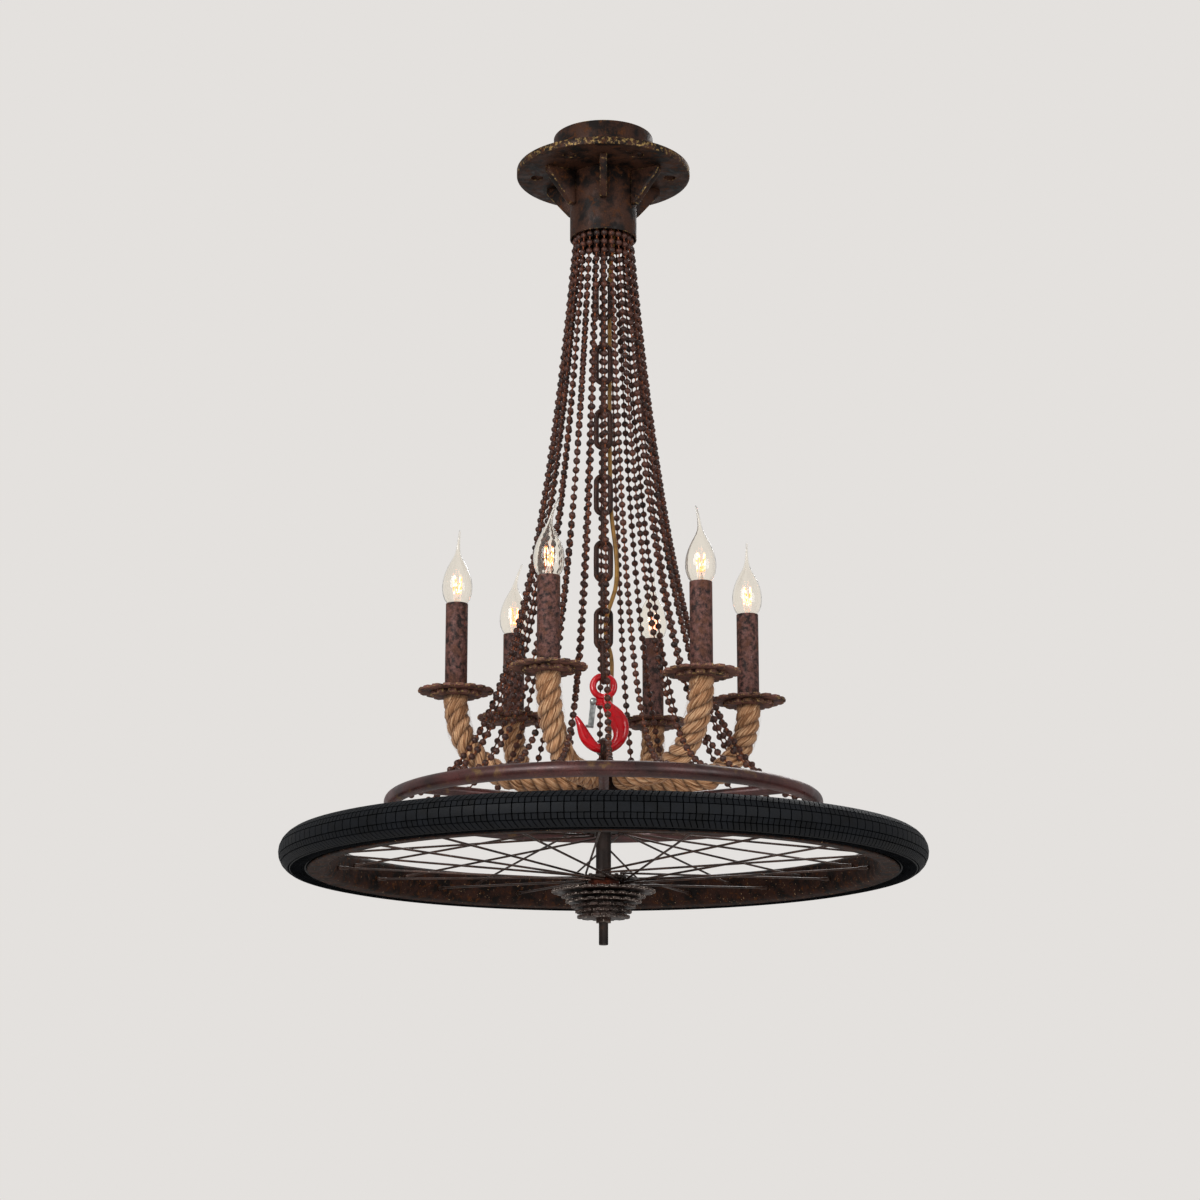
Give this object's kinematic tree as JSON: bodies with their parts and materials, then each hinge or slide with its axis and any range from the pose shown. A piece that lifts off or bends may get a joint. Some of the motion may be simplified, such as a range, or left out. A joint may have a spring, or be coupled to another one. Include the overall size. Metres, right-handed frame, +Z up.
{
  "type": "bicycle wheel pendant light",
  "caption": "Pendant light made of bicycle parts: canopy and chain with a hook, bead strands to a hoop, candle lamps on rope-wound arms over a spoked wheel with a freewheel.",
  "frame": {"origin": "middle of the two ceiling screw holes, on the ceiling plane", "axes": "+Z up along the chain, +X along the ceiling bracket, -Y towards the viewer"},
  "size_m": [0.6599, 0.66, 0.8764],
  "materials": {
    "rusty_iron": "rusty, satin",
    "zinc_steel": "dull zinc",
    "dark_steel": "oiled, worn",
    "red_paint": "gloss",
    "block_plastic": "matt",
    "rope": "twisted hemp",
    "bead_metal": "satin brown",
    "bulb_glass": "clear",
    "brass": "satin",
    "cord": "woven",
    "tyre": "matt",
    "rust_red": "rusty"
  },
  "bodies": {
    "canopy": {"ceiling_bracket": "zinc_steel", "terminal_block": "block_plastic", "threaded_nipple": "zinc_steel", "canopy_cap": "rusty_iron", "flange_plate": "rusty_iron", "neck_tube": "rusty_iron", "gusset_ribs": "rusty_iron", "flange_nut": "zinc_steel", "bead_ring": "rusty_iron", "chain_loop": "dark_steel", "cord_gland_upper": "block_plastic"},
    "top_link": {"top_link": "dark_steel"},
    "pendant": {"chain_links_side": "dark_steel", "chain_links_front": "dark_steel", "hook": "red_paint", "latch_pin": "zinc_steel", "post_eye": "dark_steel", "arm_hub": "rusty_iron", "strut_hub": "rusty_iron", "arm_tubes": "rusty_iron", "rope_sleeves": "rope", "under_cups": "rusty_iron", "cups": "rusty_iron", "candle_sleeves": "rusty_iron", "lamp_holders": "block_plastic", "bulb_caps": "brass", "bulb_glass": "bulb_glass", "bulb_filaments": "brass", "hoop": "bead_metal", "hoop_struts": "rusty_iron", "bead_strands": "bead_metal", "lamp_cord": "cord", "cord_gland_lower": "block_plastic", "axle": "dark_steel", "axle_nut_upper": "dark_steel", "axle_nut_lower": "zinc_steel"},
    "latch": {"hook_latch": "zinc_steel"},
    "wheel": {"hub_shell": "dark_steel", "hub_bearings": "zinc_steel", "hub_spacer": "rust_red", "spokes": "zinc_steel", "rim": "rusty_iron", "tyre": "tyre"},
    "freewheel": {"freewheel_body": "dark_steel", "sprocket_collars": "dark_steel", "sprocket_first": "dark_steel", "sprocket_second": "dark_steel", "sprocket_third": "dark_steel", "sprocket_fourth": "dark_steel", "sprocket_fifth": "dark_steel", "sprocket_last": "dark_steel"}
  },
  "joints": [
    {"name": "chain_swing_sideways", "type": "hinge", "parent": "canopy", "child": "top_link", "pos_m": [0, 0, -0.0975], "axis": [0, 1, 0], "range_deg": [-5, 5], "deforming": ["bead_strands", "lamp_cord"]},
    {"name": "chain_swing_forward", "type": "hinge", "parent": "top_link", "child": "pendant", "pos_m": [0, 0, -0.1337], "axis": [1, 0, 0], "range_deg": [-5, 5], "deforming": ["bead_strands", "lamp_cord"]},
    {"name": "latch_hinge", "type": "hinge", "parent": "pendant", "child": "latch", "pos_m": [-0.0105, 0, -0.6255], "axis": [0, -1, 0], "range_deg": [0, 30], "stiffness_Nm_per_rad": 0.05, "springref_deg": -20.05},
    {"name": "wheel_spin", "type": "hinge", "parent": "pendant", "child": "wheel", "pos_m": [0, 0, -0.787], "axis": [0, 0, 1], "continuous": true},
    {"name": "freewheel_spin", "type": "hinge", "parent": "wheel", "child": "freewheel", "pos_m": [0, 0, -0.835], "axis": [0, 0, 1], "continuous": true}
  ]
}
